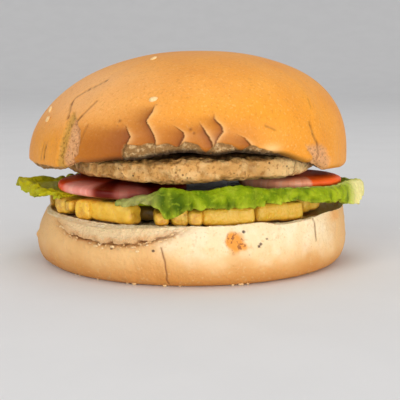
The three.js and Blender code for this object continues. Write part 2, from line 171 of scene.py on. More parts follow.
# A shape is its points, its faces and its masks.
def round_shape(points, masks):
    """A shape from a grid that goes round an axis. Its first and last rows are single points."""
    rows, columns = points.shape[:2]
    count = (rows - 2) * columns
    ids = np.zeros((rows, columns), int)
    ids[1:-1] = 1 + np.arange(count).reshape(rows - 2, columns)
    ids[-1] = count + 1
    right = np.roll(ids, -1, axis=1)
    quads = np.stack([ids[1:-2], ids[2:-1], right[2:-1], right[1:-2]], axis=-1).reshape(-1, 4)
    top = np.stack([ids[0], ids[1], right[1]], axis=-1)
    bottom = np.stack([ids[-2], ids[-1], right[-2]], axis=-1)

    def flat(grid):
        middle = grid[1:-1].reshape((count,) + grid.shape[2:])
        return np.concatenate([grid[:1, 0], middle, grid[-1:, 0]])

    full = {name: flat(np.broadcast_to(mask, (rows, columns))) for name, mask in masks.items()}
    return flat(points), quads.tolist() + top.tolist() + bottom.tolist(), full


def sheet_shape(points, thickness, masks):
    """A shape from an open grid given a thickness, closed round its edge."""
    rows, columns = points.shape[:2]
    normals = grid_normals(points, wraps=False) * (thickness / 2)
    count = rows * columns
    ids = np.arange(count).reshape(rows, columns)
    quads = np.stack([ids[:-1, :-1], ids[1:, :-1], ids[1:, 1:], ids[:-1, 1:]], axis=-1).reshape(-1, 4)
    edge = np.concatenate([ids[0, :-1], ids[:-1, -1], ids[-1, :0:-1], ids[:0:-1, 0]])
    after = np.roll(edge, -1)
    strip = np.stack([edge, after, after + count, edge + count], axis=-1)
    both = np.concatenate([(points + normals).reshape(-1, 3), (points - normals).reshape(-1, 3)])
    faces = quads.tolist() + (quads + count)[:, ::-1].tolist() + strip[:, ::-1].tolist()
    full = {}
    for name, mask in masks.items():
        full[name] = np.tile(np.broadcast_to(mask, (rows, columns)).ravel(), 2)
    return both, faces, full


def combined(shapes):
    points = np.concatenate([shape[0] for shape in shapes])
    starts = np.cumsum([0] + [len(shape[0]) for shape in shapes])
    faces = []
    for start, shape in zip(starts, shapes):
        faces.extend([k + int(start) for k in face] for face in shape[1])
    masks = {name: np.concatenate([shape[2][name] for shape in shapes]) for name in shapes[0][2]}
    return points, faces, masks


def new_object(name, points, faces, material):
    mesh = bpy.data.meshes.new(name)
    mesh.from_pydata((points * MM).tolist(), [], faces)
    mesh.shade_smooth()
    mesh.materials.append(material)
    thing = bpy.data.objects.new(name, mesh)
    bpy.context.scene.collection.objects.link(thing)
    return thing


def make_piece(name, shape, node, material):
    points, faces, masks = shape
    piece = new_object(name, points, faces, material)
    for key, values in masks.items():
        attribute = piece.data.attributes.new(key, "FLOAT", "POINT")
        attribute.data.foreach_set("value", np.clip(values, 0, 1).astype(np.float32))
    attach(piece, "root")
    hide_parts(node)


def colour(code):
    """Linear red, green, blue and alpha of a colour written as six hexadecimal digits."""
    parts = [int(code[k:k + 2], 16) / 255 for k in (0, 2, 4)]
    return [p / 12.92 if p <= 0.04045 else ((p + 0.055) / 1.055) ** 2.4 for p in parts] + [1.0]


class Paint:
    """A material built up from a base colour, layers over it and relief.

    Soft is how much light passes into it, and soft_depth how far, in millimetres."""

    def __init__(self, name, base, roughness, specular=0.5, soft=0.0, soft_depth=3):
        self.material = bpy.data.materials.new(name)
        self.material.use_nodes = True
        self.tree = self.material.node_tree
        self.shader = self.tree.nodes["Principled BSDF"]
        self.place = self.add("ShaderNodeTexCoord", {}, {}).outputs["Object"]
        self.top = colour(base)
        self.height = None
        self.shader.inputs["Roughness"].default_value = roughness
        self.shader.inputs["Specular IOR Level"].default_value = specular
        self.shader.inputs["Subsurface Weight"].default_value = soft
        self.shader.inputs["Subsurface Scale"].default_value = soft_depth * MM

    def add(self, kind, settings, inputs):
        node = self.tree.nodes.new(kind)
        for key, value in settings.items():
            setattr(node, key, value)
        for key, value in inputs.items():
            if isinstance(value, bpy.types.NodeSocket):
                self.tree.links.new(value, node.inputs[key])
            else:
                node.inputs[key].default_value = value
        return node

    def mask(self, name):
        return self.add("ShaderNodeAttribute", {"attribute_name": name}, {}).outputs["Fac"]

    def spread(self, value, low, high, to_low=0.0, to_high=1.0):
        inputs = {"Value": value, "From Min": low, "From Max": high, "To Min": to_low, "To Max": to_high}
        node = self.add("ShaderNodeMapRange", {"interpolation_type": "SMOOTHSTEP"}, inputs)
        return node.outputs["Result"]

    def grain(self, size, low=0.35, high=0.65, detail=4.0, stretch=(1, 1, 1), shift=0.0):
        """Noise over the given size in millimetres, spread between 0 and 1."""
        settings = {"Location": (shift, shift, shift), "Scale": stretch}
        place = self.add("ShaderNodeMapping", {}, {"Vector": self.place, **settings}).outputs["Vector"]
        inputs = {"Vector": place, "Scale": 1 / (size * MM), "Detail": detail}
        return self.spread(self.add("ShaderNodeTexNoise", {}, inputs).outputs["Fac"], low, high)

    def dots(self, size, radius, shift=0.0):
        """Small round dots about the given size apart, each at most the given share of it across."""
        place = self.add("ShaderNodeMapping", {}, {"Vector": self.place, "Location": (shift, 0, shift)})
        inputs = {"Vector": place.outputs["Vector"], "Scale": 1 / (size * MM)}
        cells = self.add("ShaderNodeTexVoronoi", {}, inputs)
        dot = self.spread(cells.outputs["Distance"], radius * 0.5, radius, 1.0, 0.0)
        few = self.spread(self.grain(size * 3, 0.4, 0.6, 1.0, shift=shift + 0.3), 0.45, 0.75)
        return self.product(dot, few)

    def maths(self, operation, first, second):
        return self.add("ShaderNodeMath", {"operation": operation}, {0: first, 1: second}).outputs[0]

    def product(self, first, second):
        return self.maths("MULTIPLY", first, second)

    def mixed(self, part, first, second):
        settings = {"data_type": "RGBA"}
        return self.add("ShaderNodeMix", settings, {0: part, 6: first, 7: second}).outputs[2]

    def pattern(self, where, within):
        """A pattern, or a mask by its name, kept to where a second mask is high if one is named."""
        where = self.mask(where) if isinstance(where, str) else where
        return self.product(self.mask(within), where) if within else where

    def layer(self, code, where, strength=1.0, within=None):
        """Lays a colour over those below it."""
        share = self.product(self.pattern(where, within), strength)
        self.top = self.mixed(share, self.top, colour(code))

    def relief(self, where, depth, within=None):
        """Raises the surface by the depth, in millimetres, where the pattern is 1."""
        raised = self.product(self.pattern(where, within), depth)
        self.height = raised if self.height is None else self.maths("ADD", self.height, raised)

    def done(self, roughness=None):
        self.tree.links.new(self.top, self.shader.inputs["Base Color"])
        bump = self.add("ShaderNodeBump", {}, {"Strength": 1.0, "Distance": MM, "Height": self.height})
        self.tree.links.new(bump.outputs["Normal"], self.shader.inputs["Normal"])
        if roughness is not None:
            self.tree.links.new(roughness, self.shader.inputs["Roughness"])
        return self.material


# Upper bun half: a dome with a low egg-wash sheen. At the front its crust peels in flakes over a lip
# of crumb, at the left it is torn in a strip and at the right it has cracked.
CROWN_RIM = [
    (-180, 35.8), (-64, 36.3), (-50, 37.1), (-37, 40.4), (-20, 42.1), (0, 44.9), (9, 43.9),
    (17, 44.7), (30, 43.4), (46, 39.8), (57, 36.4), (80, 35.4), (180, 35.8),
]
# The right-hand side of each flake, as (height, azimuth) points, and how far painted shade reaches
# towards it, in degrees.
FLAKE_SIDES = [
    ([(42, -20.5), (45.5, -19.8), (48, -19), (50, -18.4), (51.3, -19.4), (53, -20.6), (54.5, -23)], 11),
    ([(46, -10), (48.4, -10.1), (51, -11.2), (52.8, -12.9), (55, -14.4), (57.5, -13.2), (61, -13)], 5),
    ([(47, -2.4), (48.4, -1.9), (50.3, -1.5), (51.6, -2.2), (53.1, -4.4), (54.5, -7)], 4.5),
    ([(45, 8.4), (48.4, 7.4), (51.3, 5.1), (54.1, 2.9), (55.5, 2)], 3),
    ([(46.5, 8.8), (48.5, 8.6), (50, 9.3), (51.5, 10.4), (53.1, 9.9), (55.6, 7.4), (58, 6.5)], 3),
    ([(44.5, 20.6), (47.2, 19.9), (49.5, 17.6), (50.8, 15.1), (51.6, 12)], 5),
]
# Lift of a flake's left-hand edge, and how many degrees it takes to fade. The crust is kept a little
# inside the solid's, and more so at the front to leave room for the lift.
FLAKE_LIFT, FLAKE_LIFT_REACH, CRUST_ROOM, FLAKE_ROOM = 0.9, 5, 0.2, 0.75
# Height where the crust ends and the crumb below it shows.
CRUST_EDGE = [
    (-21.4, 38), (-20.4, 47.4), (-16, 47.1), (-11, 48.1), (-9.2, 47.3), (-6.6, 47.8), (-3.1, 46.5),
    (-0.8, 48.5), (2.5, 47.6), (6, 45.2), (9.4, 48.1), (12.5, 47.6), (17.5, 45.2), (20, 47),
    (24, 45.8), (31, 43.9), (36, 41.2), (38, 30),
]
STRIP_LEFT = [(36, -47.6), (42, -47.4), (47.5, -47.2), (52.4, -47.9), (55, -48.8), (58, -49.4)]
STRIP_MIDDLE = [(36, -45), (42, -43.8), (48, -43), (54, -44.4), (58, -47)]
STRIP_RIGHT = [
    (36, -41.5), (40.5, -40.1), (43.4, -37.9), (48.7, -37.6), (51.2, -38.8), (53.7, -42), (57, -48),
]
CROWN_CRACKS = [
    [(-45, 67.1), (-48.2, 65.3), (-51.4, 63.6), (-54.4, 61.2), (-53.8, 59.5), (-50.2, 56.6), (-49, 54.6)],
    [(-38.3, 60.3), (-38.9, 59.3), (-40, 57.4), (-41.6, 55), (-42.6, 53)],
    [(-55.9, 44.9), (-56.4, 40.3)],
    [(43.8, 53.4), (44.4, 51.6), (45.2, 49.6), (46.4, 47.5), (48.8, 45), (50, 42)],
]
FAINT_CRACKS = [
    [(47.2, 61), (46.8, 58.8)], [(82, 51), (80, 45), (74, 41)], [(24.5, 53.1), (28.2, 51.7)],
    [(-57.5, 46), (-58.5, 40)], [(-36, 53), (-37, 47)],
]
CRUST_DOTS = [(-23.9, 54.7, 0.5), (0.2, 52.4, 0.5), (1.4, 51.2, 0.4)]
# How deep each torn place goes, and each kind of crack or dot.
TORN_DEPTHS = {"crumb": 0.75, "worn": 0.9, "bare": 1.0, "tear": 0.8}
CUT_DEPTHS = {"cracks": 0.45, "faint": 0.15, "dots": 0.25}


def crown_rim(azimuth):
    return smooth_through(CROWN_RIM, turned(azimuth))


def crown_lean(z):
    return CROWN_LEAN * ramp(z, CROWN_LEAN_FROM, TOTAL_HEIGHT)


def crown_even(azimuth, part):
    """Radius and height of the even crust: part is 0 at the top, 1 at the widest and 2 at the rim."""
    widest_at = crown_rim(azimuth) + CROWN_CURL
    angle = np.radians(90 * np.clip(part, 0, 1))
    curl = np.radians(90 * np.clip(part - 1, 0, 1))
    power = 2 / CROWN_SQUARENESS
    radius = CROWN_RADIUS * np.sin(angle) ** power
    radius = radius - (CROWN_RADIUS - CROWN_RIM_RADIUS) * (1 - np.cos(curl))
    z = widest_at + (TOTAL_HEIGHT - widest_at) * np.clip(np.cos(angle), 0, 1) ** power
    return np.broadcast_arrays(radius, np.where(part > 1, widest_at - CROWN_CURL * np.sin(curl), z))


def crown_underside(azimuth):
    """Rows from the rim in to the middle. Where the rim is lifted, the slope to the ceiling is longer."""
    rim = crown_rim(azimuth)
    lifted = ramp(rim, CROWN_CEILING, CROWN_CEILING + 1)
    inner = lerp(CROWN_CEILING_LOW, CROWN_CEILING_LIFTED, lifted)
    slope = np.linspace(0.96, 0, 16)[:, None]
    flat = np.linspace(1, 0, 8)[1:, None]
    z = lerp(CROWN_CEILING, rim, ramp(slope, 0, 1))
    sloping = polar(azimuth, lerp(inner, CROWN_RIM_RADIUS, slope), z)
    return np.concatenate([sloping, polar(azimuth, inner * flat, CROWN_CEILING)])


def flake_masks(turn, z):
    """How far each place of the front crust is lifted, how near a flake's right-hand side, where shade is
    painted, it is, how near its curled left-hand edge, where a highlight is painted, and how near the
    crack between two flakes."""
    lift, shade, lit, crack = (np.zeros(z.shape) for _ in range(4))
    for side, reach in FLAKE_SIDES:
        top = side[-1][0]
        low = 1 - ramp(z, top - 4, top)
        away = turn - line_azimuth(side, z)
        beyond = away > 0
        lift = np.where(beyond, lift * (1 - low) + low * np.exp(-away / FLAKE_LIFT_REACH), lift)
        shade = np.where(beyond, shade * (1 - low), np.maximum(shade, low * np.exp(away / reach)))
        lit = np.where(beyond, np.maximum(lit, low * np.exp(-away / 0.9)), lit)
        crack = np.maximum(crack, low * hump(away, -0.15, 0.32))
    return lift, shade, lit, crack


def strip_masks(turn, z):
    """The torn strip's worn left half and its pale right half."""
    left, middle, right = (line_azimuth(line, z) for line in (STRIP_LEFT, STRIP_MIDDLE, STRIP_RIGHT))
    low = 1 - ramp(z, 55, 57.5)
    worn = ramp(turn, left - 0.3, left + 0.8) * (1 - ramp(turn, middle - 0.8, middle + 0.8)) * low
    bare = ramp(turn, middle - 0.8, middle + 0.8) * (1 - ramp(turn, right - 0.7, right + 0.5)) * low
    return worn, bare


def right_tear_mask(turn, z):
    start = lerp(51, 44.5, ramp(z, 40, 47.5))
    across = ramp(turn, start - 5, start - 3.5) * (1 - ramp(turn, start + 4, start + 7))
    return across * (1 - ramp(z, 44, 47))


def crown_marks(azimuth, part, radius, z):
    """Every mark on the even crust, by name."""
    turn = turned(azimuth)
    place = polar(azimuth, radius, z)
    wobble = noise(place, 2.2, 5)
    lift, shade, lit, flake_crack = flake_masks(turn + 0.25 * wobble, z)
    edge = smooth_through(CRUST_EDGE, turn) + 0.35 * wobble
    crust = ramp(z, edge - 0.2, edge + 0.2)
    worn, bare = strip_masks(turn + 0.6 * wobble, z)
    cracks = closeness(turn, z, CROWN_RADIUS, CROWN_CRACKS, 0.5)
    dots = [hump(wall_distance(turn, z, CROWN_RADIUS, *dot[:2]), 0, dot[2]) for dot in CRUST_DOTS]
    # Browner crust low on the front: partly real browning, partly painted shade under the flakes.
    brown_and_shade = bell(turn, -29, 12, 4) * (1 - ramp(z, 46, 57))
    cream = bell(turn, 27.5, 3.5) * hump(z, 45.4, 1.7)
    return {
        "lift": lift,
        "crumb": 1 - crust,
        "worn": worn,
        "bare": bare,
        "tear": right_tear_mask(turn + 0.8 * wobble, z),
        "cracks": cracks * (0.8 + 0.2 * np.sign(noise(place, 1.7, 6))),
        "faint": closeness(turn, z, CROWN_RADIUS, FAINT_CRACKS, 0.4),
        "dots": np.max(dots, axis=0),
        "flake_crack": flake_crack * crust,
        "shade": shade * crust,
        "lit": (lit + cream) * crust,
        "brown_and_shade": brown_and_shade + 0.95 * bell(turn, 0, 22, 4) * (1 - ramp(z, 47, 60)),
        # Pale: a painted highlight over the upper left of the dome.
        "pale": bell(turn, -52, 34) * ramp(z, 46, 60) * (1 - ramp(z, 66, 76)),
        # Painted shade in a band just above the front rim, standing for the dark gap under the crown.
        "painted_gap_shade": bell(turn, 6, 38, 6) * (1 - ramp(z - crown_rim(azimuth), 0.2, 1.9)),
        "rim": 0.8 * ramp(part + 0.12 * wobble, 1.78, 1.98),
    }


def crown_shape():
    azimuth = azimuths(WALL_COLUMNS)
    part = joined_rows((0, 0.6, 30), (0.6, 1, 84), (1, 2, 30))
    radius, z = crown_even(azimuth, part)
    marks = crown_marks(azimuth, part, radius, z)
    room = CRUST_ROOM + FLAKE_ROOM * bell(azimuth, 5, 30, 4) * (1 - ramp(z, 46, 60))
    torn = sum(depth * marks[name] for name, depth in TORN_DEPTHS.items()) * (1 - ramp(part, 1.75, 2))
    cut = sum(depth * np.clip(marks[name], 0, 1) for name, depth in CUT_DEPTHS.items())
    outside = polar(azimuth, np.maximum(radius + FLAKE_LIFT * marks["lift"] - room - torn - cut, 0), z)
    underside = crown_underside(azimuth)
    points = np.concatenate([outside, underside])

    def whole(mask, beneath=0.0):
        """A mask of the outside, with the same value all over the underside."""
        return np.concatenate([np.clip(mask, 0, 1), np.full(underside.shape[:2], beneath)])

    rough = whole(sum(marks[name] for name in TORN_DEPTHS), 1.0)
    push = 0.26 * rough * noise(points, 1.3, 2) + 0.12 * rough * noise(points, 0.6, 3)
    push = push + 0.08 * whole(1 - ramp(z, 40, 58)) * noise(points * (3, 3, 1), 7, 9)
    push = push + 0.12 * noise(points, 14, 4)
    points = points + grid_normals(points) * push[..., None]
    points[..., 0] += crown_lean(points[..., 2])
    points[..., 2] = np.minimum(points[..., 2], TOTAL_HEIGHT)
    cracks = marks["cracks"] + 0.45 * marks["faint"] + marks["flake_crack"] + 0.8 * marks["dots"]
    masks = {name: whole(marks[name]) for name in ("worn", "shade", "lit", "brown_and_shade", "pale")}
    masks["crumb"] = whole(marks["crumb"] + marks["rim"], 1.0)
    masks["torn"] = whole(marks["bare"] + marks["tear"])
    masks["crack"] = whole(cracks)
    # The underside is painted dark all over as shade.
    masks["painted_gap_shade"] = whole(marks["painted_gap_shade"], 1.0)
    return round_shape(points, masks)


def crown_material():
    paint = Paint("baked_crust", "ea9a2a", 0.5, specular=0.25, soft=0.04)
    paint.layer("e39024", paint.grain(16, 0.3, 0.7), 0.75)
    paint.layer("f0a640", paint.grain(26, 0.4, 0.75, shift=0.2), 0.5)
    # Painted highlight on the upper left of the dome.
    paint.layer("f4b878", "pale", 0.7)
    paint.layer("f8c680", paint.grain(0.8, 0.54, 0.7), 0.3)
    paint.layer("c67a24", paint.grain(1.1, 0.54, 0.7, shift=0.1), 0.36)
    paint.layer("d0862c", paint.grain(0.5, 0.52, 0.66, shift=0.4), 0.3)
    # Browner low front crust, partly real browning and partly painted shade.
    paint.layer("ae6018", "brown_and_shade", 0.72)
    # Painted shade on each flake's right-hand side and a painted highlight on its curled left-hand edge.
    paint.layer("8a440a", "shade", 0.95)
    paint.layer("fccb88", "lit", 0.75)
    paint.layer("c2923f", "worn", 0.85)
    paint.layer("8e611d", paint.grain(1.1, 0.5, 0.62), 0.75, "worn")
    paint.layer("9c7444", "crumb")
    paint.layer("dcb886", paint.grain(1.5, 0.48, 0.66), 0.8, "crumb")
    # Painted shade above the front rim and all over the underside.
    paint.layer("20100a", "painted_gap_shade", 0.88)
    paint.layer("efb27a", "torn", 0.9)
    paint.layer("a86a34", paint.grain(1.0, 0.5, 0.64), 0.65, "torn")
    paint.layer("6e3c0c", "crack", 0.9)
    paint.layer("a8682a", paint.dots(6, 0.08), 0.5)
    paint.relief(paint.grain(1.1, 0.3, 0.7), 0.05)
    paint.relief(paint.grain(5, 0.3, 0.7), 0.1)
    paint.relief(paint.grain(0.7, 0.35, 0.65), 0.3, "crumb")
    paint.relief(paint.grain(0.7, 0.35, 0.65), 0.3, "torn")
    return paint.done(paint.spread(paint.mask("crumb"), 0, 1, 0.45, 0.85))


# Sesame seeds: (azimuth, angle down from the top of the dome, turn of the seed).
SEED_PLACES = [
    (-14.6, 62, 20), (-36.6, 25, 75), (-68.9, 65, 130), (-63.5, 70, 40),
    (150, 44, 60), (118, 66, 10), (-150, 58, 100),
]


def unit(vector):
    return vector / np.linalg.norm(vector)


def seed_shape(azimuth, down, turn):
    """A drop-shaped seed, half sunk in the crust."""
    radius, z = crown_even(azimuth, down / 90)
    centre = polar(azimuth, float(radius), float(z))
    centre[0] += crown_lean(centre[2])
    normal = unit(polar(azimuth, np.sin(np.radians(down)), np.cos(np.radians(down))))
    side = polar(azimuth + 90, 1.0, 0.0)
    swing = np.radians(turn)
    along = unit(np.cos(swing) * side + np.sin(swing) * np.cross(normal, side))
    across = np.cross(normal, along)
    tilt = np.linspace(0, np.pi, 17)[:, None]
    around = np.arange(24)[None, :] / 24 * 2 * np.pi
    taper = 1 - 0.35 * (np.cos(tilt) * 0.5 + 0.5) ** 2
    length = np.broadcast_to(np.cos(tilt), (17, 24)) * SEED_LENGTH / 2
    width = np.sin(tilt) * taper * np.cos(around) * SEED_WIDTH / 2
    height = np.sin(tilt) * taper * np.sin(around) * SEED_THICKNESS / 2
    points = centre + length[..., None] * along + width[..., None] * across + height[..., None] * normal
    return round_shape(points, {"tip": ramp(np.cos(tilt), 0.5, 1)})


def seed_material():
    paint = Paint("sesame", "efcd94", 0.4, soft=0.1, soft_depth=1)
    paint.layer("c08a48", "tip", 0.7)
    paint.layer("dcb270", paint.grain(0.8), 0.5)
    paint.relief(paint.grain(0.5), 0.04)
    return paint.done()


# Lower bun half: golden at the foot, pale and floury above, with a rolled flap of crust at the front
# left whose underside is a crease painted dark, partly as shade and partly as dark peeling strokes.
HEEL_RIM = [
    (-180, 20.4), (-75, 19.3), (-50, 20.0), (-31, 19.3), (-18, 20.2), (-4, 21.2),
    (14, 21.2), (24, 21.8), (32, 20.4), (42, 20.7), (55, 22.0), (75, 21.4), (180, 20.4),
]
HEEL_RIM_INSET, HEEL_RIM_SKEW = 2.3, 1.2
HEEL_CRACKS = [
    [(-9.4, 13.6), (-9, 12.4), (-8, 9.2), (-7.8, 7), (-7.5, 4.8), (-7.5, 1.3)],
    [(47.6, 21.4), (47.9, 17.7), (47.6, 12.5)],
]
HEEL_SPECKS = [
    (17.8, 18.5, 0.6), (26, 15.7, 0.7), (23.6, 14.2, 0.7), (22.9, 13.5, 0.6), (19.6, 10.9, 0.4),
    (-12, 12.6, 0.4), (-27, 12.4, 0.5),
]
# How far the flap's edge overhangs, the crease and the cracks go in and the spur at the left stands
# out. The wall is kept a little inside the solid's.
OVERHANG, CREASE_DEEPER, HEEL_CRACK_DEPTH, SPUR_LENGTH, HEEL_ROOM = 0.7, 0.8, 0.35, 0.9, 0.15


def heel_rim(azimuth):
    return smooth_through(HEEL_RIM, turned(azimuth))


def heel_rim_radius(azimuth):
    return HEEL_RADIUS - HEEL_RIM_INSET + HEEL_RIM_SKEW * np.sin(np.radians(azimuth))


def heel_crease_height(turn):
    share = (turn - FLAP_AZIMUTH) / CREASE_HALF_SPAN
    return CREASE_LOWEST + np.where(share < 0, CREASE_RISE_LEFT, CREASE_RISE_RIGHT) * share ** 2


def heel_outline(azimuth):
    """Radius and height of the even heel in rows down its outside, and the row that each of its parts
    starts at: the lip, the wall and the foot."""
    rim, rim_radius = heel_rim(azimuth), heel_rim_radius(azimuth)
    inner = np.linspace(0, 1, 9)[:-1, None]
    lip = np.linspace(0, 1, 16)[:, None]
    wall = np.linspace(0, 1, 70)[1:, None]
    corner = np.radians(90 * np.linspace(0, 1, 26))[1:, None]
    foot = np.linspace(1, 0, 6)[1:, None]
    across = 0 * azimuth
    over = (0.95 + 0.2 * np.sin(lip * 7)) * np.sin(np.pi * lip ** 0.8)
    radii = [
        (rim_radius - 2.6) * inner, lerp(rim_radius - 2.6, rim_radius, lip ** 0.9),
        lerp(rim_radius, HEEL_RADIUS, np.sin(np.radians(90 * wall))),
        lerp(HEEL_FOOT_RADIUS, HEEL_RADIUS, np.cos(corner)) + across, HEEL_FOOT_RADIUS * foot + across,
    ]
    heights = [
        HEEL_FLOOR + 0 * inner + across, lerp(HEEL_FLOOR, rim - 0.6, lip) + over,
        lerp(rim - 0.6, HEEL_WIDEST_AT, wall), HEEL_WIDEST_AT * (1 - np.sin(corner)) + across,
        0 * foot + across,
    ]
    starts = np.cumsum([len(rows) for rows in radii])
    return np.concatenate(radii), np.concatenate(heights), starts


def heel_specks(turn, z, wobble):
    specks = []
    for azimuth, height, size in HEEL_SPECKS:
        away = wall_distance(turn, z, HEEL_RADIUS, azimuth, height)
        specks.append(1 - ramp(away + 0.3 * wobble, size * 0.6, size * 1.1))
    return np.max(specks, axis=0)


def heel_marks(turn, z, base, outside):
    """Every mark on the even heel, by name. Over is the height above the ragged crease."""
    wobble = noise(base, 2.6, 11)
    wander = noise(base, 8, 14)
    over = z - heel_crease_height(turn) - 0.55 * wobble - 0.55 * noise(base, 1.1, 17)
    flap = bell(turn, FLAP_AZIMUTH, FLAP_WIDTH, 4) * outside
    across = ramp(turn + 4 * wander, -22, 0) * (1 - ramp(turn, 50, 66))
    strokes = np.clip(noise(base * (1, 1, 0.25), 1.5, 15) * 1.6, 0, 1) * flap * bell(turn, -38, 13, 4)
    strokes = strokes * np.exp(-3 * np.clip(-over / 3.5, 0, 1)) * (over < 0)
    patch = np.hypot((turn - 14.8) / 4.4, (z - 15.4) / 4.2) + 0.45 * wobble
    return {
        "flap": flap,
        "above": ramp(over, 0.2, 0.9),
        "overhang": hump(over, 1.3, 0.9) * (0.5 + 0.5 * noise(base, 1.4, 16)),
        "fold": np.exp(-np.abs(over) / 0.8) * (over < 0.6),
        "spur": hump(turn, -76, 1.8) * hump(z, 10.6, 1.4) * outside,
        "pale": ramp(z + 1.5 * wobble + 2.5 * wander, 6, 16) * across,
        # Crease: painted shade along the flap's underside, plus real dark peeling strokes below it.
        "crease": flap * np.exp(-np.abs(over + 0.2) / 0.8) * (0.75 + 0.35 * wobble) + 0.8 * strokes,
        "golden": flap * hump(over, 1.3, 0.7),
        "crack": closeness(turn + 0.5 * wobble, z, HEEL_RADIUS, HEEL_CRACKS, 0.3) * outside,
        "patch": (1 - ramp(patch, 0.55, 1.0)) * outside,
        "speck": heel_specks(turn, z, wobble) * outside,
        "stain": bell(turn, 63, 5) * ramp(z, 16.5, 19),
        "foot": 1 - ramp(z + 2 * wander, 1, 12),
        "back": ramp(np.abs(turn), 60, 90) * outside,
    }


def heel_shape():
    azimuth = azimuths(WALL_COLUMNS)
    radius, z, starts = heel_outline(azimuth)
    row = np.arange(len(radius))[:, None]
    outside = row >= starts[1]
    marks = heel_marks(turned(azimuth), z, polar(azimuth, radius, z), outside)
    proud = marks["above"] * (1 - ramp(z - heel_rim(azimuth), -0.8, 0.7))
    fold = (FLAP_CREASE + CREASE_DEEPER) * marks["fold"]
    radius = radius + marks["flap"] * (FLAP_PROUD * proud + OVERHANG * marks["overhang"] - fold)
    radius = radius - HEEL_CRACK_DEPTH * marks["crack"] + SPUR_LENGTH * marks["spur"]
    points = polar(azimuth, np.maximum(radius - HEEL_ROOM * outside, 0), z)
    crumb = np.where(outside, marks["flap"] * marks["above"], 1.0)
    folds = noise(points * (2.5, 2.5, 0.4), 9, 21) * (1 - marks["pale"]) * outside
    push = 0.14 * noise(points, 9, 12) + 0.14 * folds
    push = push + (0.1 + 0.12 * crumb) * noise(points, 1.6, 13)
    held = ramp(z, 0, 1.2) * np.where(row >= starts[0], 1.0, 0.4)
    points = points + grid_normals(points) * (push * held)[..., None]
    points[..., 0] += HEEL_SHIFT
    points[..., 2] = np.maximum(points[..., 2], 0)
    shown = ("crease", "golden", "crack", "patch", "speck", "stain", "foot", "back")
    masks = {name: marks[name] for name in shown}
    masks["pale"] = np.where(outside, marks["pale"], 1.0)
    masks["crumb"] = crumb
    return round_shape(points, masks)


def heel_material():
    paint = Paint("floury_crust", "e9ba7a", 0.6, soft=0.08, soft_depth=4)
    paint.layer("dca05a", paint.grain(13, 0.4, 0.7), 0.5)
    paint.layer("e0aa66", "back", 0.5)
    paint.layer("c8822e", "foot", 0.85)
    paint.layer("f1d8ac", "pale", 0.95)
    paint.layer("efd2a2", "crumb", 0.85)
    paint.layer("f8e6c6", paint.grain(5, 0.42, 0.64), 0.5, "pale")
    paint.layer("dab47c", paint.grain(1.2, 0.58, 0.7), 0.5)
    paint.layer("c8924c", paint.grain(2.2, 0.6, 0.72, shift=0.3), 0.35, "pale")
    paint.layer("c98d48", paint.dots(2.6, 0.12), 0.45)
    paint.layer("dc9444", "golden", 0.5)
    paint.layer("e8921a", "patch", 0.95)
    paint.layer("8a4a10", paint.grain(1.3, 0.52, 0.62), 0.85, "patch")
    paint.layer("ef9f3c", "stain", 0.55)
    # Painted shade in the crease and dark peeling strokes below it.
    paint.layer("7e4614", "crease", 0.95)
    paint.layer("7e4818", "crack", 0.9)
    paint.layer("3c1c08", "speck", 0.95)
    paint.relief(paint.grain(1.0, 0.3, 0.7), 0.1)
    paint.relief(paint.grain(3.5, 0.3, 0.7), 0.12)
    paint.relief(paint.grain(0.7, 0.35, 0.65), 0.2, "crumb")
    return paint.done()


# Crumbs and peeling bits on the heel: (azimuth, height, half length, half thickness), and how many
# smaller ones lie along the crease and round the foot.
CRUMBS = [
    (-33, 12.6, 1.1, 0.5), (-30.5, 12.2, 0.6, 0.4), (-26.5, 13, 0.8, 0.5), (-19, 13.4, 1.2, 0.5),
    (-17.5, 12.2, 0.7, 0.4), (-20, 0.5, 0.8, 0.5), (-9, 0.4, 0.6, 0.4), (18, 0.5, 0.9, 0.5),
    (20.5, 0.4, 0.6, 0.4), (15, 0.4, 0.5, 0.35), (-13.5, 15.4, 0.7, 0.4),
]
CREASE_CRUMBS, FOOT_CRUMBS = 44, 26


def all_crumbs():
    crumbs = list(CRUMBS)
    for k in range(CREASE_CRUMBS):
        azimuth = lerp(-58, -4, draw(k + 300))
        height = float(heel_crease_height(azimuth)) + lerp(-1.2, 1.0, draw(k + 340))
        crumbs.append((azimuth, height, 0.25 + 0.5 * draw(k + 380), 0.28))
    for k in range(FOOT_CRUMBS):
        crumbs.append((lerp(-180, 180, draw(k + 420)), 0.3, 0.25 + 0.3 * draw(k + 460), 0.25))
    return crumbs


def crumb_shape(number, azimuth, height, half_length, half_thickness):
    """A small uneven lump, part sunk in the crust."""
    around = np.arange(12)[None, :] / 12 * 2 * np.pi
    down = np.linspace(0, np.pi, 8)[:, None]
    local = np.stack(np.broadcast_arrays(
        half_length * np.sin(down) * np.cos(around), half_thickness * np.sin(down) * np.sin(around),
        half_thickness * np.cos(down)), axis=-1)
    local = local * (1 + 0.35 * noise(local + 11.0 * number, 0.7, 71))[..., None]
    corner = np.arcsin(np.clip(1 - height / HEEL_WIDEST_AT, 0, 1))
    low_radius = lerp(HEEL_FOOT_RADIUS, HEEL_RADIUS, np.cos(corner))
    high_radius = HEEL_RADIUS - 0.15 * np.clip(height - HEEL_WIDEST_AT, 0, None)
    centre = polar(azimuth, float(low_radius if height < HEEL_WIDEST_AT else high_radius), height)
    centre[0] += HEEL_SHIFT
    points = moved(local, azimuth, centre)
    points[..., 2] = np.maximum(points[..., 2], 0)
    return round_shape(points, {"tone": draw(number + 500)})


def crumb_material():
    paint = Paint("crumb", "eecb92", 0.7)
    paint.layer("c48a48", "tone", 0.7)
    paint.layer("f6e2bc", paint.grain(0.9, 0.45, 0.6), 0.5)
    paint.relief(paint.grain(0.6), 0.1)
    return paint.done()


